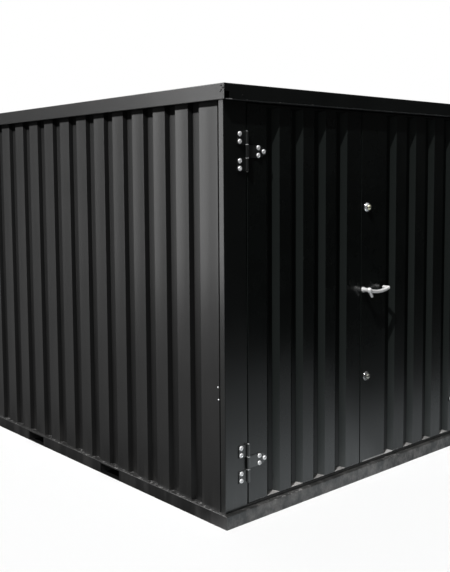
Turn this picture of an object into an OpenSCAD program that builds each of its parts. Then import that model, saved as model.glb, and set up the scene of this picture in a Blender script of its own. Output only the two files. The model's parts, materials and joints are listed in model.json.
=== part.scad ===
// Flat-pack steel storage container with a double door in its short side.
// Millimetres, +Z up. The origin is the centre of the footprint at ground level.
// The doors face -Y. "Left" and "right" are as seen by someone facing the doors.

/* [Container] */
// Overall width across the door side
width = 2210; // [2000:10:2600]
// Overall length from front to back
length = 3050; // [2600:10:4200]
// Overall height from the ground to the top of the roof frame
height = 2130; // [1900:10:2500]
// How far the doors and front posts lie behind the frame's front face
front_setback = 27; // [20:1:40]
// How far the side and back sheets lie inside the frame's outer face
side_setback = 18; // [10:1:30]

/* [Base frame] */
// Height of the base rails
base_h = 68; // [60:1:100]
// Width of a base rail's top flange
base_flange = 80; // [70:1:110]
// Width of a base rail's foot flange
base_foot = 50; // [30:1:65]
// Sheet thickness of the base rails
base_t = 3; // [2:0.5:4]
// Clear width of a fork pocket
pocket_w = 186; // [150:1:240]
// Clear height of a fork pocket
pocket_h = 58; // [45:1:58]
// Distance between the centres of the two fork pockets
pocket_pitch = 835; // [600:5:1000]
// How far the middle between the pockets is set from the middle of the length, towards the doors
pocket_shift = 112; // [0:1:200]
// Thickness of the floor boards
floor_t = 18; // [12:1:21]
// Width of one floor joist
joist_w = 60; // [40:1:80]

/* [Wall sheets] */
// Thickness of the profiled wall sheets
wall_t = 1; // [0.7:0.1:1.5]
// Depth of a trough in the walls
trough_depth = 20; // [12:1:26]
// Width of a trough at its mouth
trough_mouth = 84; // [60:1:100]
// Width of the flat bottom of a trough
trough_floor = 52; // [30:1:56]
// Distance from one trough to the next
trough_pitch = 183; // [160:1:220]
// Least width of the flat beside a post
wall_margin = 100; // [80:1:130]

/* [Corner posts] */
// Width of a post's face beside the doors, measured from the frame's outer face
post_w = 164; // [150:1:190]
// Width of a post's strip on the side, measured from the frame's outer face
post_strip = 62; // [55:1:80]
// Depth of a front post behind the door plane
post_depth = 62; // [55:1:80]
// Sheet thickness of the posts
post_t = 2; // [1.5:0.5:3]
// Width of the joint line between a post and its wall sheet
groove_w = 5; // [4:1:8]
// Depth of that joint line
groove_d = 8; // [7:1:12]

/* [Roof] */
// Height of the roof rails
fascia_h = 75; // [60:1:100]
// Width of a roof rail's top flange
roof_flange = 70; // [55:1:90]
// Width of the seat that carries the roof sheet
roof_seat = 26; // [20:1:35]
// Depth of the roof sheet below the top of the rails
roof_drop = 26; // [24:1:32]
// Sheet thickness of the roof rails
roof_t = 2; // [1.5:0.5:3]
// Height of the ribs of the roof sheet
rib_h = 20; // [12:1:22]
// Size of the open corner at the ends of the front roof rail
end_notch = 33; // [20:1:40]

/* [Doors] */
// Distance of the joint between the leaves from the left outer face
seam_at = 1034; // [950:1:1100]
// Gap above and beside each leaf
leaf_gap = 8; // [7:1:10]
// Gap between the leaves and the sill
sill_gap = 5; // [5:1:10]
// Depth of a leaf
leaf_d = 40; // [34:1:44]
// Sheet thickness of a leaf
leaf_t = 1.5; // [1:0.25:2]
// Height of the sill above the base rail
sill_h = 13; // [10:1:18]
// Overlap of the stops behind the leaves
stop_lap = 22; // [16:1:30]
// Depth of the pressed recesses
press_depth = 24; // [16:1:28]
// Width of a recess at its mouth
press_mouth = 92; // [80:1:110]
// Width that one sloping side of a recess takes
press_web = 33; // [20:1:36]
// Flat beside the hinges
hinge_flat = 132; // [130:1:150]
// Flat of the left leaf beside the joint
left_flat = 122; // [100:1:150]
// Flat of the right leaf beside the joint, which holds the lock
lock_flat = 221; // [190:1:260]

/* [Hinges] */
// Height of the centre of the lower hinges
lower_hinge_z = 293; // [250:1:400]
// Distance of the centre of the upper hinges below the top of the container
upper_hinge_drop = 312; // [280:1:450]
// Height of one of a hinge's three knuckles
knuckle_h = 64; // [50:1:80]
// Radius of the knuckles
knuckle_r = 8; // [7:0.5:9]
// Radius of the hinge pin
pin_r = 4.5; // [3.5:0.5:5]
// Thickness of the hinge plates
plate_t = 4; // [3:0.5:5]

/* [Lock] */
// Height of the lever handle
handle_z = 1070; // [950:1:1150]
// Distance of the lever's pivot from the joint between the leaves
handle_inset = 19; // [18:1:40]
// Length of the lever
lever_l = 180; // [120:1:185]
// Distance of the lever's centre line from the door
lever_reach = 45; // [40:1:60]
// Radius of the lever bar
lever_r = 10; // [8:0.5:10.5]
// Distance of the lock bolts from the joint between the leaves
lock_bolt_inset = 54; // [45:1:70]
// Distance of a lock bolt above or below the middle between the two
lock_bolt_half = 475; // [400:5:550]

/* [Hidden] */

paint = [0.05, 0.05, 0.055];
zinc = [0.78, 0.79, 0.80];
plywood = [0.30, 0.20, 0.13];
bend_steps = 3;

half_w = width / 2;
half_l = length / 2;
door_y = -half_l + front_setback;
side_x = half_w - side_setback;
back_y = half_l - side_setback;
fascia_z = height - fascia_h;
roof_z = height - roof_drop;
wall_top = height - roof_t;
slit = 0.3;

// Door opening
hinge_x = half_w - post_w - leaf_gap / 2;
seam_x = -half_w + seam_at;
sill_z = base_h + sill_h;
leaf_z0 = sill_z + sill_gap;
leaf_z1 = fascia_z - leaf_gap - 1;
leaf_back_y = door_y + leaf_d;
stop_y = leaf_back_y + 6;
left_x0 = -hinge_x + leaf_gap / 2;
left_x1 = seam_x - leaf_gap / 2;
right_x0 = seam_x + leaf_gap / 2;
right_x1 = hinge_x - leaf_gap / 2;
leaf_lip = 24;
press_end = 10;
press_top_margin = 8;
press_foot_margin = 2;

// Hinges: the pin stands proud of the doors and a little to the post's side of the gap
pin_x = hinge_x + 6;
pin_y = door_y - knuckle_r - 1;
upper_hinge_z = height - upper_hinge_drop;
hinge_heights = [lower_hinge_z, upper_hinge_z];
bolt_r = 11;
bolt_h = 7;

// ---------------------------------------------------------------- folded sheet

function unit(v) = v / norm(v);
function left_of(v) = [-v.y, v.x];
function reversed(p) = [for (i = [len(p) - 1 : -1 : 0]) p[i]];

// Corner b of a path from a to c, moved d to the left of the path
function mitred(a, b, c, d) =
    let (n = left_of(unit(b - a)) + left_of(unit(c - b)))
    b + n * 2 * d / (n * n);

// The whole path moved d to its left
function beside(p, d) = [
    for (i = [0 : len(p) - 1])
        i == 0 ? p[0] + d * left_of(unit(p[1] - p[0]))
        : i == len(p) - 1 ? p[i] + d * left_of(unit(p[i] - p[i - 1]))
        : mitred(p[i - 1], p[i], p[i + 1], d)];

// Points of a bend of radius r in place of the corner b
function bend(a, b, c, r) =
    let (
        u = unit(b - a),
        w = unit(c - b),
        turn = acos(max(-1, min(1, u * w))),
        way = u.x * w.y < u.y * w.x ? -1 : 1,
        centre = b - r * tan(turn / 2) * u + way * r * left_of(u),
        spoke = -way * r * left_of(u))
    [for (k = [0 : bend_steps])
        let (t = way * turn * k / bend_steps)
        centre + [spoke.x * cos(t) - spoke.y * sin(t), spoke.x * sin(t) + spoke.y * cos(t)]];

function bent(p, r) = [
    p[0],
    for (i = [1 : len(p) - 2]) each bend(p[i - 1], p[i], p[i + 1], r),
    p[len(p) - 1]];

// Section of a sheet folded along a path. The path is the outer face, and the
// thickness t lies to its left, or to its right where t is negative.
module folded(path, t, r = 0) {
    line = bent(path, r == 0 ? abs(t) + 1 : r);
    polygon(concat(line, reversed(beside(line, t))));
}

// A section drawn in X and Z, run along Y
module along_y(y0, y1) translate([0, y1, 0]) rotate([90, 0, 0]) linear_extrude(height = y1 - y0) children();

// A section drawn in Y and Z, run along X
module along_x(x0, x1) translate([x0, 0, 0]) rotate([90, 0, 90]) linear_extrude(height = x1 - x0) children();

// A box between two corners
module block(low, high) translate(low) cube(high - low);

// The same piece on the right, or mirrored on the left
module on_right(right) mirror([right ? 0 : 1, 0, 0]) children();

// Plan of a rail with mitred ends, for the front, and turned for the other sides
module mitre_plan(half_span, half_reach, depth)
    linear_extrude(height = height * 2, center = true)
        polygon([
            [-half_span, -half_reach], [half_span, -half_reach],
            [half_span - depth, -half_reach + depth], [-half_span + depth, -half_reach + depth]]);

// ---------------------------------------------------------------- base frame

// Section of a base rail with its face at zero and its flanges towards +
base_lip = 20;
module base_section() folded([
    [base_foot, 0], [0, 0], [0, base_h], [base_flange, base_h], [base_flange, base_h - base_lip]], -base_t);

module base_rail_end(front) color(paint) mirror([0, front ? 0 : 1, 0])
    intersection() {
        translate([0, -half_l, 0]) along_x(-half_w, half_w) base_section();
        mitre_plan(half_w, half_l, base_flange);
    }

pocket_ys = [-pocket_shift - pocket_pitch / 2, -pocket_shift + pocket_pitch / 2];
module base_rail_side(right) color(paint) on_right(right)
    difference() {
        intersection() {
            translate([half_w, 0, 0]) mirror([1, 0, 0]) along_y(-half_l, half_l) base_section();
            rotate([0, 0, 90]) mitre_plan(half_l, half_w, base_flange);
        }
        for (y = pocket_ys) {
            block([half_w - base_t - 1, y - pocket_w / 2, -1], [half_w + 1, y + pocket_w / 2, pocket_h]);
            block([half_w - base_flange - 1, y - pocket_w / 2 - base_t, -1],
                  [half_w - base_t, y + pocket_w / 2 + base_t, pocket_h + base_t]);
        }
    }

// Channel that guides a fork from one side to the other
module fork_channel(y) color(paint)
    translate([0, y, 0]) along_x(-half_w + base_t, half_w - base_t) folded([
        [-pocket_w / 2 - base_t, 0], [-pocket_w / 2 - base_t, pocket_h + base_t],
        [pocket_w / 2 + base_t, pocket_h + base_t], [pocket_w / 2 + base_t, 0]], -base_t);

joist_foot = 8;
joist_ys = [-half_l * 0.7, 0, half_l * 0.7];
module floor_joists() color(paint)
    for (y = joist_ys)
        translate([0, y, 0]) along_x(-half_w + base_flange, half_w - base_flange) folded([
            [-joist_w / 2, joist_foot], [-joist_w / 2, base_h],
            [joist_w / 2, base_h], [joist_w / 2, joist_foot]], -base_t);

floor_y0 = stop_y + post_t + 2;
floor_y1 = back_y - trough_depth - 4;
floor_x = side_x - trough_depth - 4;
board_count = 3;
board_gap = 2;
board_l = (floor_y1 - floor_y0 + board_gap) / board_count;
module floor_boards() color(plywood)
    difference() {
        for (i = [0 : board_count - 1])
            block([-floor_x, floor_y0 + i * board_l, base_h],
                  [floor_x, floor_y0 + (i + 1) * board_l - board_gap, base_h + floor_t]);
        for (right = [false, true]) on_right(right)
            block([half_w - post_w - stop_lap - board_gap, floor_y0 - 1, 0],
                  [half_w, post_back_y + board_gap, height]);
    }

// The sill and the header run from post to post, and their stop lips end at the posts' lips
module between_posts() difference() {
    along_x(-half_w + post_w, half_w - post_w) children();
    for (right = [false, true]) on_right(right)
        block([half_w - post_w - stop_lap - slit, stop_y - slit, base_h - 1],
              [half_w, stop_y + post_t + 1, height]);
}

module door_sill() color(paint) between_posts() folded([
    [door_y, base_h], [door_y, sill_z], [stop_y, sill_z], [stop_y, leaf_z0 + stop_lap]], -post_t);

// ---------------------------------------------------------------- corner posts

// A post is folded so that its edge beside a wall sheet is set back behind the sheet
post_flange = 50;
post_back_y = door_y + post_depth + 20;
post_top = roof_z - roof_t;
post_lip = 30;
module upright(z1) translate([0, 0, base_h]) linear_extrude(height = z1 - base_h) children();

module post_front(right) color(paint) on_right(right) upright(post_top) folded([
    [side_x - groove_d, -half_l + post_strip + post_flange],
    [side_x - groove_d, -half_l + post_strip],
    [side_x, -half_l + post_strip],
    [side_x, door_y],
    [half_w - post_w, door_y],
    [half_w - post_w, stop_y],
    [half_w - post_w - stop_lap, stop_y],
    [half_w - post_w - stop_lap, post_back_y],
    [half_w - post_w + post_lip, post_back_y]], -post_t);

module post_back(right) color(paint) on_right(right) upright(post_top) folded([
    [side_x - groove_d, half_l - post_strip - post_flange],
    [side_x - groove_d, half_l - post_strip],
    [side_x, half_l - post_strip],
    [side_x, back_y],
    [half_w - post_strip, back_y],
    [half_w - post_strip, back_y - groove_d],
    [half_w - post_strip - post_flange, back_y - groove_d]], post_t);

// ---------------------------------------------------------------- wall sheets

// Outer line of a profiled sheet, centred on zero: the flats at 0, the troughs at -depth.
// hem is the length of the folded edge at each end.
function profile_line(span, pitch, mouth, floor_w, depth, margin, hem) =
    let (
        count = floor((span - mouth - 2 * margin) / pitch) + 1,
        start = -((count - 1) * pitch + mouth) / 2,
        web = (mouth - floor_w) / 2,
        ribs = [
            for (i = [0 : count - 1])
                each [
                    [start + i * pitch, 0],
                    [start + i * pitch + web, -depth],
                    [start + i * pitch + mouth - web, -depth],
                    [start + i * pitch + mouth, 0]]])
    [
        if (hem > 0) [-span / 2, -hem],
        [-span / 2, 0],
        each ribs,
        [span / 2, 0],
        if (hem > 0) [span / 2, -hem]];

module wall_sheet(span) upright(wall_top)
    folded(profile_line(
        span, trough_pitch, trough_mouth, trough_floor, trough_depth, wall_margin, groove_d - slit),
        -wall_t, 3);

side_span = length - 2 * (post_strip + groove_w);
back_span = width - 2 * (post_strip + groove_w);
module wall_side(right) color(paint) on_right(right)
    translate([side_x, 0, 0]) rotate([0, 0, -90]) wall_sheet(side_span);
module wall_back() color(paint) translate([0, back_y, 0]) wall_sheet(back_span);

// ---------------------------------------------------------------- roof

// Section of a roof rail with its face at zero and its flanges towards +
module roof_section(setback) folded([
    [setback - slit, fascia_z], [0, fascia_z], [0, height], [roof_flange, height],
    [roof_flange, roof_z], [roof_flange + roof_seat, roof_z]], -roof_t);

roof_depth = roof_flange + roof_seat;
module roof_rail_end(front) color(paint) mirror([0, front ? 0 : 1, 0])
    difference() {
        intersection() {
            translate([0, -half_l, 0]) along_x(-half_w, half_w)
                roof_section(front ? front_setback : side_setback);
            mitre_plan(half_w, half_l, roof_depth);
        }
        if (front)
            for (right = [false, true]) on_right(right)
                block([half_w - end_notch, -half_l - 1, fascia_z + 4],
                      [half_w - roof_t, -half_l + roof_t + 1, fascia_z + 4 + end_notch]);
    }

module roof_rail_side(right) color(paint) on_right(right)
    intersection() {
        translate([half_w, 0, 0]) mirror([1, 0, 0]) along_y(-half_l, half_l) roof_section(side_setback);
        rotate([0, 0, 90]) mitre_plan(half_l, half_w, roof_depth);
    }

header_lip = 30;
module door_header() color(paint) between_posts() folded([
    [door_y + header_lip, wall_top], [door_y, wall_top], [door_y, leaf_z1 + leaf_gap],
    [stop_y, leaf_z1 + leaf_gap], [stop_y, leaf_z1 - stop_lap]], post_t);

bow_ys = [-half_l / 2, 0, half_l / 2];
bow_h = 40;
bow_half = 25;
bow_brim = 45;
bow_z = roof_z - roof_t;
bow_x = half_w - roof_flange - 2;
module roof_bows() color(paint)
    for (y = bow_ys)
        translate([0, y, 0]) along_x(-bow_x, bow_x) folded([
            [-bow_brim, bow_z], [-bow_half, bow_z], [-bow_half, bow_z - bow_h],
            [bow_half, bow_z - bow_h], [bow_half, bow_z], [bow_brim, bow_z]], -roof_t);

rib_base = 100;
rib_top = 70;
sheet_inset = roof_flange + roof_t + 2;
module roof_sheet() color(paint)
    translate([0, 0, roof_z + wall_t]) along_x(-half_w + sheet_inset, half_w - sheet_inset) folded(
        profile_line(length - 2 * sheet_inset, trough_pitch, rib_base, rib_top, -rib_h, wall_margin, 0),
        -wall_t, 3);

// ---------------------------------------------------------------- door leaves

// Wedge-sided recess from z0 to z1, with its mouth from x0 in the door plane.
// grow makes it larger on every sloping face, for the back of the sheet.
module recess(x0, z0, z1, depth) {
    slope = press_web / press_depth;
    steep = press_end / press_depth;
    intersection() {
        translate([0, 0, z0 - 5]) linear_extrude(height = z1 - z0 + 10) polygon([
            [x0 - slope, door_y - 1], [x0 + press_mouth + slope, door_y - 1],
            [x0 + press_mouth - slope * depth, door_y + depth], [x0 + slope * depth, door_y + depth]]);
        along_x(x0 - 5, x0 + press_mouth + 5) polygon([
            [door_y - 1, z0 - steep], [door_y + depth, z0 + steep * depth],
            [door_y + depth, z1 - steep * depth], [door_y - 1, z1 + steep]]);
    }
}

module leaf(x0, x1, recess_xs) {
    z0 = leaf_z0 + press_foot_margin;
    z1 = leaf_z1 - press_top_margin;
    difference() {
        union() {
            difference() {
                block([x0, door_y, leaf_z0], [x1, leaf_back_y, leaf_z1]);
                block([x0 + leaf_t, door_y + leaf_t, leaf_z0 + leaf_t],
                      [x1 - leaf_t, leaf_back_y - leaf_t, leaf_z1 - leaf_t]);
                block([x0 + leaf_lip, door_y + leaf_t, leaf_z0 + leaf_lip],
                      [x1 - leaf_lip, leaf_back_y + 1, leaf_z1 - leaf_lip]);
            }
            intersection() {
                for (x = recess_xs) translate([0, leaf_t, 0]) recess(x, z0, z1, press_depth);
                block([x0, door_y, leaf_z0], [x1, leaf_back_y, leaf_z1]);
            }
        }
        for (x = recess_xs) recess(x, z0, z1, press_depth);
    }
}

recess_count = 4;
left_first = left_x0 - leaf_gap / 2 + hinge_flat;
left_pitch = (seam_x - left_flat - press_mouth - left_first) / (recess_count - 1);
right_first = seam_x + lock_flat;
right_pitch = (hinge_x - hinge_flat - press_mouth - right_first) / (recess_count - 1);
module leaf_left() color(paint)
    leaf(left_x0, left_x1, [for (i = [0 : recess_count - 1]) left_first + i * left_pitch]);
module leaf_right() color(paint)
    leaf(right_x0, right_x1, [for (i = [0 : recess_count - 1]) right_first + i * right_pitch]);

rail_y = door_y + press_depth + leaf_t + slit;
rail_back_y = leaf_back_y - leaf_t - slit;
rail_half = 40;
module leaf_rails(x0, x1) color(paint)
    for (z = [lower_hinge_z, handle_z, upper_hinge_z])
        along_x(x0 + leaf_t + slit, x1 - leaf_t - slit) folded([
            [rail_back_y, z - rail_half], [rail_y, z - rail_half],
            [rail_y, z + rail_half], [rail_back_y, z + rail_half]], -leaf_t);

// ---------------------------------------------------------------- hinges

// Plates on the post, each with the knuckle that carries one end of the pin
knuckle_gap = 1;
plate_margin = 2;
plate_reach = 58;
module knuckle(z) translate([pin_x, pin_y, z - (knuckle_h - knuckle_gap) / 2])
    cylinder(h = knuckle_h - knuckle_gap, r = knuckle_r, $fn = 32);

module pin(r) translate([pin_x, pin_y, -1.5 * knuckle_h]) cylinder(h = 3 * knuckle_h, r = r, $fn = 32);

module hinge_plates(right) color(paint) on_right(right)
    for (z = hinge_heights, end = [-1, 1])
        difference() {
            union() {
                knuckle(z + end * knuckle_h);
                block([pin_x, door_y - plate_t, z + (end - 0.5) * knuckle_h + plate_margin],
                      [pin_x + plate_reach, door_y, z + (end + 0.5) * knuckle_h - plate_margin]);
            }
            translate([0, 0, z]) scale([1, 1, 1.1]) pin(pin_r + 0.1);
        }

// Tongue on the leaf with the middle knuckle and the pin
tongue_reach = 130;
tongue_taper = 34;
tongue_tip = 24;
tongue_half = knuckle_h / 2 - plate_margin;
module hinge_tongues(right) color(paint) on_right(right)
    for (z = hinge_heights) {
        knuckle(z);
        translate([0, 0, z]) pin(pin_r);
        translate([pin_x, door_y, z]) rotate([90, 0, 0]) linear_extrude(height = plate_t) polygon([
            [0, -tongue_half], [0, tongue_half], [tongue_taper - tongue_reach, tongue_half],
            [-tongue_reach, tongue_tip / 2], [-tongue_reach, -tongue_tip / 2],
            [tongue_taper - tongue_reach, -tongue_half]]);
    }

// Domed bolt head with its flat side in the plane y
module bolt_head(x, y, z, r, h) translate([x, y, z]) rotate([90, 0, 0])
    rotate_extrude($fn = 32) intersection() {
        translate([0, h - (r * r + h * h) / (2 * h)]) circle(r = (r * r + h * h) / (2 * h), $fn = 96);
        square([r + 1, h + 1]);
    }

plate_bolt_x = 43.5;
plate_bolt_zs = [-82, -46, 46, 82];
module frame_bolts(right) color(zinc) on_right(right)
    for (z = hinge_heights, dz = plate_bolt_zs)
        bolt_head(pin_x + plate_bolt_x, door_y - plate_t, z + dz, bolt_r, bolt_h);

tongue_bolts = [[79.5, -18.5], [79.5, 18.5], [115, 0]];
module leaf_bolts(right) color(zinc) on_right(right)
    for (z = hinge_heights, p = tongue_bolts)
        bolt_head(pin_x - p.x, door_y - plate_t, z + p.y, bolt_r, bolt_h);

// ---------------------------------------------------------------- lock and handle

handle_x = seam_x + handle_inset;
lock_bolt_x = seam_x + lock_bolt_inset;
lock_bolts_z = handle_z - 19;
lock_bolt_zs = [lock_bolts_z - lock_bolt_half, lock_bolts_z + lock_bolt_half];
washer_r = 26;
washer_t = 4;
nut_r = 20;
nut_h = 9;
cap_r = 14;
cap_h = 9;
module lock_bolts() color(zinc)
    for (z = lock_bolt_zs) {
        translate([lock_bolt_x, door_y, z]) rotate([90, 0, 0]) {
            cylinder(h = washer_t, r1 = washer_r, r2 = washer_r - washer_t / 2, $fn = 48);
            translate([0, 0, washer_t]) rotate(30) cylinder(h = nut_h, r = nut_r, $fn = 6);
        }
        bolt_head(lock_bolt_x, door_y - washer_t - nut_h, z, cap_r, cap_h);
    }

lock_y = leaf_back_y + slit;
rod_r = 6;
rod_y = lock_y + rod_r;
case_half = 90;
case_edge = 6;
case_w = 85;
case_d = 14;
module lock_case() color(zinc)
    block([right_x0 + case_edge, lock_y, handle_z - case_half],
          [right_x0 + case_edge + case_w, lock_y + case_d, handle_z + case_half]);

// Rods that hold the right leaf above and below, drawn back so that they clear the stops
rod_clearance = 8;
rod_z0 = leaf_z0 + stop_lap + rod_clearance;
rod_z1 = leaf_z1 - stop_lap - rod_clearance;
module rod(x, z0, z1) translate([x, rod_y, z0]) cylinder(h = z1 - z0, r = rod_r, $fn = 24);
module lock_rods() color(zinc) {
    rod(lock_bolt_x, rod_z0, handle_z - case_half - slit);
    rod(lock_bolt_x, handle_z + case_half + slit, rod_z1);
}

// Guides on the ends of the lock bolts, inside the leaf, which hold the rods
stud_r = 10;
guide_half_w = 18;
guide_half_h = 12;
guide_wall = 4;
guide_seat = 2;
module rod_guides() color(zinc)
    for (z = lock_bolt_zs) difference() {
        union() {
            translate([lock_bolt_x, door_y + leaf_t, z]) rotate([-90, 0, 0])
                cylinder(h = leaf_d - leaf_t, r = stud_r, $fn = 32);
            block([lock_bolt_x - guide_half_w, leaf_back_y - guide_seat, z - guide_half_h],
                  [lock_bolt_x + guide_half_w, rod_y + rod_r + guide_wall, z + guide_half_h]);
        }
        translate([lock_bolt_x, rod_y, z - 2 * guide_half_h])
            cylinder(h = 4 * guide_half_h, r = rod_r + slit, $fn = 24);
    }

// Bolts that hold the left leaf at the top and at the bottom, each in its case
shoot_inset = 18;
shoot_l = 180;
shoot_case_l = 120;
shoot_case_half_w = 15;
shoot_case_wall = 3;
shoot_x = left_x1 - shoot_inset;
module shoot_bolts() color(zinc)
    for (z = [rod_z0, rod_z1 - shoot_l]) {
        rod(shoot_x, z, z + shoot_l);
        translate([shoot_x, lock_y, z + shoot_l / 2]) block(
            [-shoot_case_half_w, 0, -shoot_case_l / 2],
            [shoot_case_half_w, 2 * rod_r + shoot_case_wall, shoot_case_l / 2]);
    }

neck_r = 11;
collar_t = 8;
collar_r = 15;
module handle_collar() color(zinc)
    translate([handle_x, door_y, handle_z]) rotate([90, 0, 0]) difference() {
        cylinder(h = collar_t, r = collar_r, $fn = 48);
        translate([0, 0, -1]) cylinder(h = collar_t + 2, r = neck_r + slit, $fn = 48);
    }

// A neck out of the door with a round knuckle on it, a grip that sags a little between the
// knuckle and the end that turns back to the door, and a short slanting tail below the knuckle
ball_r = 15;
knob_r = lever_r + 1;
grip_l = lever_l - knob_r;
grip_sag = 13;
grip_bow = grip_l * grip_l / (8 * grip_sag) + grip_sag / 2;
grip_angle = asin(grip_l / (2 * grip_bow));
lever_end_gap = 12;
tail_l = 46;
tail_r = 7;
tail_slant = 32;
module ball(r) sphere(r = r, $fn = 32);
module lever_handle() color(zinc) translate([handle_x, door_y - lever_reach, handle_z]) {
    rotate([-90, 0, 0]) cylinder(h = lever_reach - slit, r = neck_r, $fn = 32);
    ball(ball_r);
    translate([grip_l / 2, 0, grip_bow - grip_sag]) rotate([90, 90 + grip_angle, 0])
        rotate_extrude(angle = 2 * grip_angle, $fn = 96)
            translate([grip_bow, 0]) circle(r = lever_r, $fn = 32);
    translate([grip_l, 0, 0]) {
        ball(knob_r);
        rotate([-90, 0, 0]) cylinder(h = lever_reach - lever_end_gap, r = lever_r, $fn = 32);
    }
    rotate([0, 180 - tail_slant, 0]) cylinder(h = tail_l, r1 = neck_r, r2 = tail_r, $fn = 32);
}

base_rail_end(true);  // base_rail_front
base_rail_end(false);  // base_rail_back
base_rail_side(false);  // base_rail_left
base_rail_side(true);  // base_rail_right
fork_channel(pocket_ys[0]);  // fork_channel_front
fork_channel(pocket_ys[1]);  // fork_channel_back
floor_joists();
floor_boards();
door_sill();
post_front(false);  // post_front_left
post_front(true);  // post_front_right
post_back(false);  // post_back_left
post_back(true);  // post_back_right
wall_side(false);  // wall_left
wall_side(true);  // wall_right
wall_back();
door_header();
roof_rail_end(true);  // roof_rail_front
roof_rail_end(false);  // roof_rail_back
roof_rail_side(false);  // roof_rail_left
roof_rail_side(true);  // roof_rail_right
roof_bows();
roof_sheet();
leaf_left();
leaf_right();
leaf_rails(left_x0, left_x1);  // leaf_rails_left
leaf_rails(right_x0, right_x1);  // leaf_rails_right
hinge_plates(false);  // hinge_plates_left
hinge_plates(true);  // hinge_plates_right
hinge_tongues(false);  // hinge_tongues_left
hinge_tongues(true);  // hinge_tongues_right
frame_bolts(false);  // frame_bolts_left
frame_bolts(true);  // frame_bolts_right
leaf_bolts(false);  // leaf_bolts_left
leaf_bolts(true);  // leaf_bolts_right
lock_bolts();
lock_case();
lock_rods();
rod_guides();
shoot_bolts();
handle_collar();
lever_handle();
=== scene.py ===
"""Looks of the storage container: finishes, small fasteners, floor, light and camera."""

import json
import math

import bmesh
import bpy
from mathutils import Euler, Matrix, Vector


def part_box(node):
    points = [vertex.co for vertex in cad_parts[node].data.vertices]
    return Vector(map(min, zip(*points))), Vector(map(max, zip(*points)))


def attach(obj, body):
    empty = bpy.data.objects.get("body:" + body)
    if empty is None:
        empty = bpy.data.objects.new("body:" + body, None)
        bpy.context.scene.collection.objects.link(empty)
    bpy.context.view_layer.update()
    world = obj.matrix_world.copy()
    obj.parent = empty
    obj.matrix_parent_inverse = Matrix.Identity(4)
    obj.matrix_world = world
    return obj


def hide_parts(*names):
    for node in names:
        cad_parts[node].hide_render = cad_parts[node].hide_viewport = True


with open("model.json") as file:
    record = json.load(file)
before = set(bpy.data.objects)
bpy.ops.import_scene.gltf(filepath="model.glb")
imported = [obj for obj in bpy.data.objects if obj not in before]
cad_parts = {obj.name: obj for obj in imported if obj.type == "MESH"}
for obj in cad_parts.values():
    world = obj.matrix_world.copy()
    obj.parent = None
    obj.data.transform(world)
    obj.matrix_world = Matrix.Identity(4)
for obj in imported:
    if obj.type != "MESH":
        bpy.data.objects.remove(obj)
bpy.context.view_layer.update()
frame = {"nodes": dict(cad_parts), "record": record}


NODES = frame["nodes"]

# ------------------------------------------------------------------ places taken from the frame

RAIL_LOW, RAIL_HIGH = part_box("base_rail_front")
ROOF_LOW, ROOF_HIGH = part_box("roof_rail_left")
LOCK_LOW, LOCK_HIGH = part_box("lock_bolts")
LEAF_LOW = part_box("leaf_left")[0]
LEFT_X = RAIL_LOW.x
RIGHT_X = RAIL_HIGH.x
FRONT_Y = RAIL_LOW.y
BACK_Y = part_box("base_rail_left")[1].y
TOP_Z = ROOF_HIGH.z
FASCIA_Z = ROOF_LOW.z
WALL_X = -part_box("wall_left")[0].x
WALL_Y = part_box("wall_back")[1].y
DOOR_Y = -LEAF_LOW.y

# ------------------------------------------------------------------ sizes as in part.scad, in metres

FOLD_DEPTH = 0.020
FOLD_PITCH = 0.183
PRESS_DEPTH = 0.024
SHEET_T = 0.001
KNUCKLE_R = 0.008
KNUCKLE_H = 0.064


# ------------------------------------------------------------------ node helpers


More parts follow.
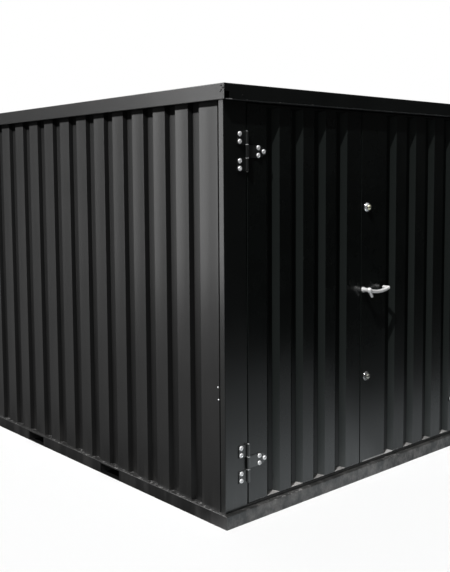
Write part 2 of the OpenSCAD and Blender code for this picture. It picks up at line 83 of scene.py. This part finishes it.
class Tree:
    """The node tree of a material or world, with short calls for the nodes that are used here."""

    def __init__(self, owner, output):
        owner.use_nodes = True
        self.owner = owner
        self.tree = owner.node_tree
        self.tree.nodes.clear()
        self.out = self.new(output).inputs["Surface"]
        self.places = self.new("ShaderNodeTexCoord").outputs
        self.coords = self.places["Object"]

    def new(self, kind, **values):
        node = self.tree.nodes.new(kind)
        for key, value in values.items():
            setattr(node, key, value)
        return node

    def link(self, a, b):
        self.tree.links.new(a, b)

    def feed(self, socket, value):
        """Puts a number, a colour or another node's output on a socket."""
        if isinstance(value, bpy.types.NodeSocket):
            self.link(value, socket)
        else:
            socket.default_value = value

    def mapped(self, scale):
        """The object's coordinates in metres, times a scale for each axis."""
        node = self.new("ShaderNodeMapping")
        self.link(self.coords, node.inputs["Vector"])
        node.inputs["Scale"].default_value = scale
        return node.outputs["Vector"]

    def noise(self, scale, detail=2.0, rough=0.5, stretch=(1, 1, 1)):
        node = self.new("ShaderNodeTexNoise")
        self.link(self.mapped(stretch), node.inputs["Vector"])
        node.inputs["Scale"].default_value = scale
        node.inputs["Detail"].default_value = detail
        node.inputs["Roughness"].default_value = rough
        return node.outputs["Fac"]

    def ramp(self, value, low, high, to_low=0.0, to_high=1.0, smooth=True):
        """value from low..high to to_low..to_high, held at the ends."""
        node = self.new("ShaderNodeMapRange", interpolation_type="SMOOTHSTEP" if smooth else "LINEAR")
        self.feed(node.inputs["Value"], value)
        for key, number in (("From Min", low), ("From Max", high), ("To Min", to_low), ("To Max", to_high)):
            node.inputs[key].default_value = number
        return node.outputs["Result"]

    def between(self, value, low, high, soft):
        """1 from low to high, and down to 0 over the distance soft outside them."""
        return self.times(self.ramp(value, low - soft, low), self.ramp(value, high + soft, high))

    def math(self, operation, a, b=0.0):
        node = self.new("ShaderNodeMath", operation=operation)
        self.feed(node.inputs[0], a)
        self.feed(node.inputs[1], b)
        return node.outputs[0]

    def times(self, product, *others):
        """The product of two or more values."""
        for other in others:
            product = self.math("MULTIPLY", product, other)
        return product

    def mix(self, factor, a, b):
        """Colour between a and b."""
        node = self.new("ShaderNodeMix", data_type="RGBA")
        self.feed(node.inputs["Factor"], factor)
        self.feed(node.inputs[6], a)
        self.feed(node.inputs[7], b)
        return node.outputs[2]

    def part(self, vector, axis):
        """One component of a vector."""
        node = self.new("ShaderNodeSeparateXYZ")
        self.link(vector, node.inputs[0])
        return node.outputs[axis]

    def unsigned(self, vector, axis):
        """One component of a vector, without its sign."""
        return self.math("ABSOLUTE", self.part(vector, axis))

    def facing_up(self):
        """How far the surface looks up, from -1 to 1."""
        return self.part(self.new("ShaderNodeNewGeometry").outputs["Normal"], "Z")

    def bump(self, height, distance, strength=1.0, normal=None):
        node = self.new("ShaderNodeBump")
        self.feed(node.inputs["Height"], height)
        node.inputs["Distance"].default_value = distance
        node.inputs["Strength"].default_value = strength
        if normal is not None:
            self.link(normal, node.inputs["Normal"])
        return node.outputs["Normal"]

    def surface(self, colour, roughness, metallic, normal, specular=0.5, coat=0.0, coat_rough=0.2):
        """Ends the tree with a Principled shader and returns the material."""
        node = self.new("ShaderNodeBsdfPrincipled")
        self.feed(node.inputs["Base Color"], colour)
        self.feed(node.inputs["Roughness"], roughness)
        node.inputs["Metallic"].default_value = metallic
        self.feed(node.inputs["Specular IOR Level"], specular)
        self.feed(node.inputs["Coat Weight"], coat)
        node.inputs["Coat Roughness"].default_value = coat_rough
        self.link(normal, node.inputs["Normal"])
        self.link(normal, node.inputs["Coat Normal"])
        self.link(node.outputs[0], self.out)
        return self.owner

    def shader(self, kind, **values):
        """A plain shader, with its sockets by name."""
        node = self.new(kind)
        for key, value in values.items():
            self.feed(node.inputs[key], value)
        return node.outputs[0]

    def blend(self, factor, a, b):
        """Shader between a and b."""
        node = self.new("ShaderNodeMixShader")
        for value, socket in zip((factor, a, b), node.inputs):
            self.link(value, socket)
        return node.outputs[0]


def material_tree(name):
    return Tree(bpy.data.materials.new(name), "ShaderNodeOutputMaterial")


# ------------------------------------------------------------------ materials

# The darkest and lightest grey of the paint, and its tints.
BLACK_LOW = 0.0047
BLACK_HIGH = 0.0064
NEUTRAL = (1.0, 1.0, 1.0)
GREENISH = (0.85, 1.03, 0.97)

# Gloss of a paint: specular level, weight of its clear coat, roughness of that coat.
WALL_GLOSS = (0.24, 0.7, 0.27)
DOOR_GLOSS = (0.08, 0.9, 0.18)
POST_GLOSS = (0.14, 1.0, 0.24)
HINGE_GLOSS = (0.65, 0.9, 0.25)

# Metres: how hollow the wall crests look, and how far down the painted shade under the roof's edge reaches
# on the walls.
CREST_HOLLOW = 0.0012
EAVES_SHADE = 0.027


def grey(value, warm=0.0):
    """A grey as a colour, a little warmer, or cooler below 0."""
    return (value * (1 + warm), value, value * (1 - warm), 1.0)


def tinted(value, tint):
    """A grey as a colour, times a tint of red, green and blue."""
    return tuple(value * share for share in tint) + (1.0,)


def dust_on(t, patches, film_high=0.25, film=0.3, streak=0.12, settled=0.5):
    """Two amounts of dust: a film that thins out up to film_high, in streaks that are longer for a
    smaller streak, and dust that has settled on what looks up."""
    up = t.facing_up()
    specks = t.ramp(t.noise(90.0, 3.0, 0.7), 0.25, 0.7, 0.6, 1.0)
    streaks = t.ramp(t.noise(14.0, 3.0, 0.6, (1, 1, streak)), 0.35, 0.75)
    low_down = t.ramp(t.part(t.coords, "Z"), 0.0, film_high, film, 0.0)
    thin = t.times(low_down, streaks, specks, t.ramp(up, 0.2, 0.8, 1.0, 0.3))
    thick = t.times(t.ramp(up, 0.35, 0.95, 0.0, settled), specks, t.ramp(patches, 0.2, 0.8, 0.35, 1.0))
    return thin, thick


def fold_masks(t, through, along, outer, depth, bottom_shine, side_shine, eaves=None):
    """For folded sheet: how much of its gloss is left under painted shade, and where the slanting sides of
    its folds are. The outer face lies at outer on the axis through the sheet, and the folds, of a depth,
    lie side by side on the axis along it. bottom_shine and side_shine are the gloss left at the bottom and
    on the sides, where less gloss is painted shade. Above the height eaves the gloss is cut to paint the
    shade of the roof's edge."""
    inset = t.unsigned(t.coords, through)
    sides = t.ramp(t.unsigned(t.places["Normal"], along), 0.25, 0.5)
    # Painted shade: less gloss deep in the folds and on their slanting sides.
    painted_shade_gloss = t.times(
        t.ramp(inset, outer, outer - depth, 1.0, bottom_shine, smooth=False),
        t.ramp(sides, 0.0, 1.0, 1.0, side_shine, smooth=False))
    if eaves:
        # The painted shade under the roof's edge reaches lower down inside the folds.
        level = t.math("ADD", t.part(t.coords, "Z"), t.math("SUBTRACT", outer, inset))
        painted_shade_gloss = t.times(painted_shade_gloss, t.ramp(level, eaves - 0.003, eaves + 0.003, 1.0, 0.03))
    return painted_shade_gloss, sides


def chipped(t, patches, edge_z, reach, amount, bare=None):
    """Where paint is knocked off, up to a reach from the edge at edge_z: in small spots, stronger
    for a higher amount, and all of it between the two X of bare."""
    from_edge = t.math("ABSOLUTE", t.math("SUBTRACT", t.part(t.coords, "Z"), edge_z))
    spots = t.times(
        t.ramp(t.noise(55.0, 3.0, 0.7, (1, 1, 2.5)), 0.55, 0.63),
        t.ramp(patches, 0.38, 0.52, 0.0, amount))
    if bare:
        spots = t.math("MAXIMUM", spots, t.between(t.part(t.coords, "X"), *bare, soft=0.003))
    return t.times(spots, t.ramp(from_edge, reach, reach * 0.4))


def black_paint(name, tint=NEUTRAL, gloss=WALL_GLOSS, film_tone=0.11, settled_tone=0.11, dust=None,
                folds=None, side_painted_light=1.0, crests=None, chips=None):
    """Satin black coat on steel sheet, with fine orange peel, on sheets that aren't quite flat.
    dust, folds and chips hold values for the functions above, and side_painted_light lightens the slanting
    sides of the folds as painted light. crests is (axis along the sheet, pitch) for sheet whose crests are
    a little hollow."""
    t = material_tree(name)
    patches = t.noise(5.0, 4.0, 0.6)
    colour = t.mix(t.ramp(patches, 0.3, 0.7), tinted(BLACK_LOW, tint), tinted(BLACK_HIGH, tint))
    shine, coat, coat_rough = gloss
    if folds:
        painted_shade_gloss, sides = fold_masks(t, **folds)
        # Painted light on the slanting sides of the folds, and painted shade as less gloss in the folds.
        colour = t.mix(sides, colour, tinted(BLACK_HIGH * side_painted_light, tint))
        shine = t.times(painted_shade_gloss, shine)
        coat = t.times(painted_shade_gloss, coat)
    thin, thick = dust_on(t, patches, **(dust or {}))
    colour = t.mix(thin, colour, grey(film_tone, 0.03))
    colour = t.mix(thick, colour, grey(settled_tone, 0.03))
    dulled = t.times(t.math("MAXIMUM", thin, thick), 0.3)
    rough = t.math("ADD", t.ramp(patches, 0.25, 0.75, 0.42, 0.5), dulled)
    if chips:
        colour = t.mix(chipped(t, patches, **chips), colour, grey(0.42, 0.01))
    peel = t.bump(t.noise(420.0, 1.0), 0.00006)
    normal = t.bump(t.noise(1.7, 1.0, 0.4, (1, 1, 0.5)), 0.0025, 1.0, peel)
    if crests:
        along, pitch = crests
        phase = t.times(t.part(t.coords, along), 2 * math.pi / pitch)
        normal = t.bump(t.math("COSINE", phase), CREST_HOLLOW, 1.0, normal)
    return t.surface(colour, rough, 0.0, normal, shine, coat, coat_rough)


def dark_plastic(name):
    """Dull black of the rivets."""
    t = material_tree(name)
    cloud = t.noise(120.0, 3.0, 0.6)
    colour = t.mix(t.ramp(cloud, 0.3, 0.7), grey(0.003), grey(0.006))
    return t.surface(colour, t.ramp(cloud, 0.25, 0.75, 0.55, 0.7), 0.0, t.bump(cloud, 0.0001), 0.2)


def zinc_plate(name, rough, metallic, specular=0.5, yellow_y=None, greyer_below_z=None):
    """Bright zinc on bolts and lock parts, a little cloudy. In front of yellow_y the plating is the
    yellowish kind, and below greyer_below_z it is darker grey in patches."""
    t = material_tree(name)
    cloud = t.noise(60.0, 3.0, 0.6)
    colour = t.mix(t.ramp(cloud, 0.3, 0.7), grey(0.88, -0.01), grey(0.97, -0.005))
    if yellow_y is not None:
        yellow = t.ramp(t.part(t.coords, "Y"), yellow_y + 0.001, yellow_y - 0.001)
        colour = t.mix(t.times(yellow, t.ramp(cloud, 0.2, 0.6, 0.4, 0.9)), colour, (0.86, 0.83, 0.58, 1))
    if greyer_below_z is not None:
        # Darker grey in patches low down.
        worn = t.ramp(t.part(t.coords, "Z"), greyer_below_z + 0.01, greyer_below_z - 0.01)
        colour = t.mix(t.times(worn, t.ramp(cloud, 0.2, 0.7, 0.6, 0.95)), colour, grey(0.2, 0.01))
    grain = t.bump(t.noise(900.0, 2.0), 0.00004)
    return t.surface(colour, t.ramp(cloud, 0.25, 0.75, rough, rough + 0.12), metallic, grain, specular)


def stainless(name):
    """Satin stainless steel with fine lines along the bar."""
    t = material_tree(name)
    lines = t.noise(300.0, 3.0, 0.6, (0.08, 1, 1))
    colour = t.mix(t.ramp(lines, 0.3, 0.7), grey(0.92, 0.005), grey(0.99, 0.003))
    return t.surface(colour, t.ramp(lines, 0.25, 0.75, 0.3, 0.42), 0.35, t.bump(lines, 0.00003))


def floor_board(name):
    """Film-faced plywood: dark brown with a fine grid pressed in, worn where people walk."""
    t = material_tree(name)
    cell = 0.006
    grid = t.new("ShaderNodeTexBrick", offset=0.0)
    t.link(t.mapped((1, 1, 1)), grid.inputs["Vector"])
    sizes = {"Scale": 1.0, "Brick Width": cell, "Row Height": cell, "Mortar Size": cell / 5}
    tones = {"Color1": grey(1.0), "Color2": grey(1.0), "Mortar": grey(0.0)}
    for key, value in (sizes | tones).items():
        grid.inputs[key].default_value = value
    grain = t.noise(22.0, 5.0, 0.6, (0.15, 1, 1))
    worn = t.ramp(t.noise(2.6, 4.0, 0.6), 0.45, 0.75)
    colour = t.mix(t.ramp(grain, 0.3, 0.7), (0.10, 0.055, 0.032, 1), (0.18, 0.105, 0.062, 1))
    colour = t.mix(t.times(worn, 0.35), colour, (0.30, 0.22, 0.16, 1))
    rough = t.math("ADD", 0.42, t.times(worn, 0.25))
    return t.surface(colour, rough, 0.0, t.bump(grid.outputs["Color"], 0.0003, 0.6))


def wall_paint(name, through, along, outer):
    """Paint on a folded wall, with hollow crests, painted shade as less gloss in its folds, and a strip of
    painted shade under the roof's edge.
    """
    return black_paint(
        name, crests=(along, FOLD_PITCH), folds=dict(
            through=through, along=along, outer=outer, depth=FOLD_DEPTH, bottom_shine=0.5,
            side_shine=0.3, eaves=FASCIA_Z - EAVES_SHADE))


PAINT = black_paint("black_paint")
SIDE_PAINT = wall_paint("black_paint_sides", "X", "Y", WALL_X)
BACK_PAINT = wall_paint("black_paint_back", "Y", "X", WALL_Y)
# Painted light on the slanting sides of the pressings, and painted shade as less gloss at their bottoms.
DOOR_PAINT = black_paint(
    "black_paint_doors", GREENISH, DOOR_GLOSS, settled_tone=0.55, dust=dict(settled=1.0), side_painted_light=2.4,
    folds=dict(through="Y", along="X", outer=DOOR_Y, depth=PRESS_DEPTH, bottom_shine=0.4, side_shine=1.0),
    chips=dict(edge_z=LEAF_LOW.z, reach=0.011, amount=0.35, bare=(LEFT_X + 1.06, LEFT_X + 1.33)))
POST_PAINT = black_paint("black_paint_posts", GREENISH, POST_GLOSS)
HINGE_PAINT = black_paint("black_paint_hinges", GREENISH, HINGE_GLOSS)
BASE_PAINT = black_paint(
    "black_paint_base", GREENISH, film_tone=0.24, settled_tone=0.16,
    dust=dict(film_high=0.3, film=1.0, streak=0.7, settled=0.2),
    chips=dict(edge_z=RAIL_HIGH.z, reach=0.005, amount=0.55))
RAIL_PAINT = black_paint(
    "black_paint_rails", dust=dict(settled=0.3),
    chips=dict(edge_z=RAIL_HIGH.z, reach=0.0022, amount=0.55))
FASCIA_PAINT = black_paint(
    "black_paint_fascia", GREENISH,
    chips=dict(
        edge_z=FASCIA_Z + 0.003, reach=0.0032, amount=0.25, bare=(LEFT_X + 0.012, LEFT_X + 0.05)))
DULL_BLACK = dark_plastic("dull_black")
ZINC = zinc_plate("zinc_plate", rough=0.26, metallic=0.3, specular=1.0)
GEAR_ZINC = zinc_plate("zinc_plate_gear", rough=0.26, metallic=0.8)
LOCK_ZINC = zinc_plate(
    "zinc_plate_lock", rough=0.16, metallic=0.85,
    yellow_y=LOCK_LOW.y + 0.009, greyer_below_z=(LOCK_LOW.z + LOCK_HIGH.z) / 2)
STEEL = stainless("stainless_steel")
BOARD = floor_board("floor_board")

SLOT_FINISH = {"paint": PAINT, "zinc": ZINC, "stainless": STEEL, "floor": BOARD}
OWN_FINISH = {
    "leaf_left": DOOR_PAINT,
    "leaf_right": DOOR_PAINT,
    "base_rail_front": BASE_PAINT,
    "base_rail_back": BASE_PAINT,
    "base_rail_left": RAIL_PAINT,
    "base_rail_right": RAIL_PAINT,
    "roof_rail_front": FASCIA_PAINT,
    "post_front_left": POST_PAINT,
    "post_front_right": POST_PAINT,
    "hinge_plates_left": HINGE_PAINT,
    "hinge_plates_right": HINGE_PAINT,
    "hinge_tongues_left": HINGE_PAINT,
    "hinge_tongues_right": HINGE_PAINT,
    "wall_left": SIDE_PAINT,
    "wall_right": SIDE_PAINT,
    "wall_back": BACK_PAINT,
    "lock_bolts": LOCK_ZINC,
    "lock_case": GEAR_ZINC,
    "lock_rods": GEAR_ZINC,
    "rod_guides": GEAR_ZINC,
    "shoot_bolts": GEAR_ZINC,
}

for entry in frame["record"]["subparts"]:
    finishes = NODES[entry["node"]].data.materials
    finishes.clear()
    finishes.append(OWN_FINISH.get(entry["node"], SLOT_FINISH[entry["material_slot"]]))


# ------------------------------------------------------------------ small fasteners

# Radius and height of the round heads, and radius of the roof screws, in metres.
RIVET = (0.0045, 0.0018)
SIDE_SCREW = (0.0042, 0.0025)
PIN_HEAD = (0.005, 0.002)
ROOF_SCREW_R = 0.008

# Turned outlines as (radius, height): shares for a dome, metres for a washer.
DOME = ((0.98, 0.0), (1.0, 0.12), (0.94, 0.4), (0.78, 0.7), (0.5, 0.92), (0.12, 1.0))
WASHER = ((0.0082, -0.0009), (0.0086, -0.0005), (0.0086, 0.0005), (0.0082, 0.0009))


def shells(node):
    """Boxes of a node's separate solids, as (lowest corner, highest corner)."""
    bm = bmesh.new()
    bm.from_mesh(NODES[node].data)
    bmesh.ops.remove_doubles(bm, verts=bm.verts, dist=1e-6)
    left = set(bm.verts)
    found = []
    while left:
        group, edge = set(), [left.pop()]
        while edge:
            v = edge.pop()
            group.add(v)
            for e in v.link_edges:
                other = e.other_vert(v)
                if other in left:
                    left.discard(other)
                    edge.append(other)
        low = Vector([min(v.co[i] for v in group) for i in range(3)])
        high = Vector([max(v.co[i] for v in group) for i in range(3)])
        found.append((low, high))
    bm.free()
    return sorted(found, key=lambda b: (round(b[0].z, 4), round(b[0].x, 4)))


def mesh_object(name, bm, material):
    """Ends a bmesh and puts it in the scene as an object of one material."""
    data = bpy.data.meshes.new(name)
    bm.to_mesh(data)
    bm.free()
    data.materials.append(material)
    thing = bpy.data.objects.new(name, data)
    bpy.context.scene.collection.objects.link(thing)
    return thing


def mesh_piece(name, bm, material, body, smooth=True):
    """A piece of the container that moves with a body."""
    bmesh.ops.recalc_face_normals(bm, faces=bm.faces)
    piece = mesh_object(name, bm, material)
    for polygon in piece.data.polygons:
        polygon.use_smooth = smooth
    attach(piece, body)
    return piece


def hex_radius(angle, across_flats):
    """Distance from the middle of a hexagon to its edge, in a direction."""
    step = math.radians(60)
    return across_flats / 2 / math.cos((angle % step) - step / 2)


def add_rings(bm, rings, place):
    """Skins a stack of rings, each a function of the angle that gives (radius, height)."""
    turns = 48
    rows = []
    for ring in rings:
        row = []
        for k in range(turns):
            angle = 2 * math.pi * k / turns
            radius, height = ring(angle)
            point = Vector((radius * math.cos(angle), radius * math.sin(angle), height))
            row.append(bm.verts.new(place @ point))
        rows.append(row)
    for a, b in zip(rows, rows[1:]):
        for k in range(turns):
            n = (k + 1) % turns
            bm.faces.new((a[k], a[n], b[n], b[k]))
    bm.faces.new(rows[0][::-1])
    bm.faces.new(rows[-1])


def add_turned(bm, place, outline):
    """A round shape from (radius, height) pairs."""
    add_rings(bm, [lambda angle, pair=pair: pair for pair in outline], place)


def add_dome(bm, place, size):
    """Low round head of a size (radius, height), with its flat side at the place."""
    radius, height = size
    add_turned(bm, place, [(radius * a, height * b) for a, b in DOME])


def add_socket_head(bm, place, radius, height):
    """Button head with a hexagon socket, with its base at the place and its top towards +Z."""
    socket = radius * 0.5
    depth = height * 0.55

    def round_at(share, level):
        return lambda angle: (radius * share, height * level)

    def hex_at(level, widen=1.0):
        return lambda angle: (hex_radius(angle, socket) * widen, level)

    add_rings(bm, [
        round_at(0.97, 0.0), round_at(1.0, 0.06), round_at(1.0, 0.18), round_at(0.97, 0.36),
        round_at(0.9, 0.58), round_at(0.8, 0.76), round_at(0.66, 0.91), round_at(0.52, 0.98),
        hex_at(height, 1.06), hex_at(height * 0.97), hex_at(height - depth),
        lambda angle: (socket * 0.1, height - depth * 1.15)], place)


def add_hex_screw(bm, place, radius):
    """Sheet screw: a thin round washer with a hexagon head on it."""
    def round_at(share, level):
        return lambda angle: (radius * share, radius * level)

    def hex_at(share, level):
        return lambda angle: (hex_radius(angle, 2 * radius * share), radius * level)

    add_rings(bm, [
        round_at(1.0, 0.0), round_at(1.0, 0.18), round_at(0.92, 0.26), round_at(0.62, 0.28),
        hex_at(0.5, 0.3), hex_at(0.5, 0.78), hex_at(0.44, 0.88), hex_at(0.1, 0.9)], place)


def facing(x, y, z, turn_x=0.0, turn_y=0.0):
    """A place at a point, with its own +Z turned from straight up about X and Y by degrees."""
    turn = Euler((math.radians(turn_x), math.radians(turn_y), 0))
    return Matrix.Translation((x, y, z)) @ turn.to_matrix().to_4x4()


def facing_front(x, y, z):
    return facing(x, y, z, turn_x=90)


def facing_back(x, y, z):
    return facing(x, y, z, turn_x=-90)


def facing_out(x, y, z):
    """A place at a point, with its own +Z sideways, away from the middle of the container."""
    return facing(x, y, z, turn_y=math.copysign(90, x))


def hinge_bolts(node, body):
    """Button-head bolts in place of one node's plain domes, a little wider than those."""
    bm = bmesh.new()
    wider = 1.1
    for low, high in shells(node):
        middle = (low + high) / 2
        radius = (high.x - low.x) / 2 * wider
        add_socket_head(bm, facing_front(middle.x, high.y, middle.z), radius, high.y - low.y)
    piece = mesh_piece(node + "_heads", bm, ZINC, body)
    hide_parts(node)


def corner_rivets():
    """Four rivets in each end of the side fascias, and one near each end of the front and back."""
    bm = bmesh.new()
    spots = ((0.020, 0.013), (0.007, 0.023), (0.019, 0.032), (0.026, 0.039))
    from_side, drop_front = 0.119, 0.052
    for x in (LEFT_X, RIGHT_X):
        for y_end, inward in ((FRONT_Y, 1), (BACK_Y, -1)):
            for from_end, drop in spots:
                add_dome(bm, facing_out(x, y_end + inward * from_end, TOP_Z - drop), RIVET)
    for x in (LEFT_X + from_side, RIGHT_X - from_side):
        add_dome(bm, facing_front(x, FRONT_Y, TOP_Z - drop_front), RIVET)
        add_dome(bm, facing_back(x, BACK_Y, TOP_Z - drop_front), RIVET)
    return bm


def roof_screws():
    """Screws in the valleys of the roof sheet where it lies on the seats of the roof rails."""
    bm = bmesh.new()
    seat, end_pitch = 0.085, 0.3
    side_count, end_count = 16, 7
    valley_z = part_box("roof_sheet")[0].z + SHEET_T
    for x in (LEFT_X + seat, RIGHT_X - seat):
        for k in range(side_count):
            y = (k - (side_count - 1) / 2) * FOLD_PITCH
            add_hex_screw(bm, facing(x, y, valley_z), ROOF_SCREW_R)
    for y in (FRONT_Y + seat, BACK_Y - seat):
        for k in range(end_count):
            x = (k - (end_count - 1) / 2) * end_pitch
            add_hex_screw(bm, facing(x, y, valley_z), ROOF_SCREW_R)
    return bm


def side_screws():
    """A pair of screws through the front post on each side."""
    bm = bmesh.new()
    for x in (-WALL_X, WALL_X):
        for from_front, z in ((0.077, 0.686), (0.073, 0.626)):
            add_dome(bm, facing_out(x, FRONT_Y + from_front, z), SIDE_SCREW)
    return bm


def hinge_pins():
    """Heads on both ends of each hinge pin, and washers between the three knuckles."""
    bm = bmesh.new()
    for node, side in (("hinge_tongues_left", -1), ("hinge_tongues_right", 1)):
        for low, high in shells(node):
            x = high.x - KNUCKLE_R if side > 0 else low.x + KNUCKLE_R
            y = low.y + KNUCKLE_R
            middle = (low.z + high.z) / 2
            for sign, turn in ((-1, 180), (1, 0)):
                end = middle + sign * KNUCKLE_H * 1.5
                joint = middle + sign * KNUCKLE_H * 0.5
                add_dome(bm, facing(x, y, end, turn_x=turn), PIN_HEAD)
                add_turned(bm, facing(x, y, joint), WASHER)
    return bm


hinge_bolts("frame_bolts_left", "container")
hinge_bolts("frame_bolts_right", "container")
hinge_bolts("leaf_bolts_left", "left_door")
hinge_bolts("leaf_bolts_right", "right_door")
mesh_piece("fascia_rivets", corner_rivets(), DULL_BLACK, "container")
mesh_piece("roof_screws", roof_screws(), PAINT, "container", smooth=False)
mesh_piece("side_screws", side_screws(), GEAR_ZINC, "container")
mesh_piece("hinge_pin_heads", hinge_pins(), ZINC, "container")

# ------------------------------------------------------------------ floor, light and camera


def floor_glow(t, before, across):
    """How bright glossy paint sees the floor, from the distance before the doors and the distance
    across from the left side: bright before the left leaf, less before the right one, dark
    further out, and dim beside the left wall."""
    near = t.ramp(before, 1.3, 0.1, 0.0, 0.62)
    wide = t.ramp(before, 3.2, 1.1, 0.0, 0.44)
    left_leaf = t.ramp(t.math("SUBTRACT", across, t.times(before, 0.8)), 1.75, 1.1)
    right_leaf = t.ramp(before, 1.6, 0.4, 0.1, 0.62)
    doors = t.times(
        t.math("ADD", near, wide), t.math("MAXIMUM", left_leaf, right_leaf),
        t.ramp(before, -0.3, 0.1), t.ramp(across, -1.0, -0.1, 0.1, 1.0))
    wall = t.times(t.ramp(across, 0.2, -0.6, 0.02, 0.25), t.ramp(before, 0.5, -0.1, 0.1, 1.0))
    return t.math("ADD", doors, wall)


def stage_floor():
    """A plain pale floor that runs to the horizon. It has a painted shadow under the container, sends
    little light back up, and has its own brightness in reflections."""
    reach = 60
    bm = bmesh.new()
    bm.faces.new([bm.verts.new((x * reach, y * reach, 0)) for x, y in ((-1, -1), (1, -1), (1, 1), (-1, 1))])
    t = material_tree("studio_floor")
    x, y = t.part(t.coords, "X"), t.part(t.coords, "Y")
    before = t.math("SUBTRACT", FRONT_Y, y)
    across = t.math("SUBTRACT", x, LEFT_X)
    edge = 0.004
    inside = t.times(
        t.between(x, LEFT_X + edge, RIGHT_X - edge, soft=edge),
        t.between(y, FRONT_Y + edge, BACK_Y - edge, soft=edge))
    pale = t.shader("ShaderNodeBsdfDiffuse", Color=grey(0.96))
    # Painted shadow: the floor under the container is near black.
    painted_shadow_floor = t.shader("ShaderNodeBsdfDiffuse", Color=grey(0.008))
    dim = t.shader("ShaderNodeBsdfDiffuse", Color=grey(0.2))
    cool = t.mix(t.ramp(before, -0.1, 0.1), grey(1.0), (0.94, 1.0, 1.03, 1))
    mirrored = t.shader("ShaderNodeEmission", Color=cool, Strength=floor_glow(t, before, across))
    path = t.new("ShaderNodeLightPath").outputs
    soft = t.blend(path["Is Glossy Ray"], dim, mirrored)
    t.link(t.blend(path["Is Camera Ray"], soft, t.blend(inside, pale, painted_shadow_floor)), t.out)
    floor = mesh_object("studio_floor", bm, t.owner)


def world_light():
    """White for the camera. Reflections show a bright sky over a dark foreground and a dim
    background, and the light that it gives is soft."""
    world = bpy.data.worlds.new("studio")
    bpy.context.scene.world = world
    t = Tree(world, "ShaderNodeOutputWorld")

    def background(strength):
        return t.shader("ShaderNodeBackground", Color=grey(1.0), Strength=strength)

    sky = t.ramp(t.part(t.places["Generated"], "Z"), 0.35, 0.9)
    behind = t.ramp(t.part(t.places["Generated"], "Y"), -0.2, 0.4, 0.02, 0.22)
    path = t.new("ShaderNodeLightPath").outputs
    mirrored = background(t.math("MAXIMUM", sky, behind))
    soft = t.blend(path["Is Glossy Ray"], background(0.15), mirrored)
    t.link(t.blend(path["Is Camera Ray"], soft, background(1.0)), t.out)


def add_lamp(name, kind, direction, **values):
    """A lamp of a kind with its settings by name, looking in a direction."""
    data = bpy.data.lights.new(name, kind)
    for key, value in values.items():
        setattr(data, key, value)
    lamp = bpy.data.objects.new(name, data)
    lamp.rotation_euler = Vector(direction).to_track_quat("-Z", "Y").to_euler()
    bpy.context.scene.collection.objects.link(lamp)
    return lamp


def softbox(name, place, target, width, height, power):
    """A lamp that only shows in reflections, from a place towards a target."""
    lamp = add_lamp(
        name, "AREA", Vector(target) - Vector(place),
        shape="RECTANGLE", size=width, size_y=height, energy=power)
    lamp.location = place
    lamp.visible_diffuse = False


def camera():
    """A standing person's view of the corner between the left side and the doors, as in the photo."""
    azimuth, pitch, roll = (math.radians(a) for a in (41.30, 4.85, -0.44))
    data = bpy.data.cameras.new("camera")
    data.sensor_width = 36
    data.lens = 52.477
    data.shift_x = 0.01801
    data.shift_y = -0.06241
    data.clip_end = 200
    lens = bpy.data.objects.new("camera", data)
    level = math.cos(pitch)
    forward = Vector((math.sin(azimuth) * level, math.cos(azimuth) * level, -math.sin(pitch)))
    eye = Vector((LEFT_X - 2.598, FRONT_Y - 2.884, 1.685))
    lens.rotation_mode = "QUATERNION"
    lens.rotation_quaternion = forward.to_track_quat("-Z", "Y") @ Euler((0, 0, roll)).to_quaternion()
    lens.location = eye
    bpy.context.scene.collection.objects.link(lens)
    bpy.context.scene.camera = lens


stage_floor()
world_light()
add_lamp("sun", "SUN", (1.0, 0.36, -1.5), energy=3.4, angle=math.radians(0.6))
softbox("left_softbox", (LEFT_X - 3.4, 1.2, 1.7), (LEFT_X, 1.2, 1.7), 3.6, 2.4, 80)
softbox("high_softbox", (LEFT_X - 4.0, 2.2, 4.6), (LEFT_X, 0.6, 1.2), 4.5, 2.5, 280)
softbox("right_softbox", (RIGHT_X + 3.4, 0.8, 1.7), (RIGHT_X, 0.8, 1.5), 3.6, 2.4, 50)
softbox("back_softbox", (0.4, BACK_Y + 3.4, 1.7), (0.4, BACK_Y, 1.5), 3.6, 2.4, 40)
camera()

bpy.context.scene.view_settings.view_transform = "Standard"
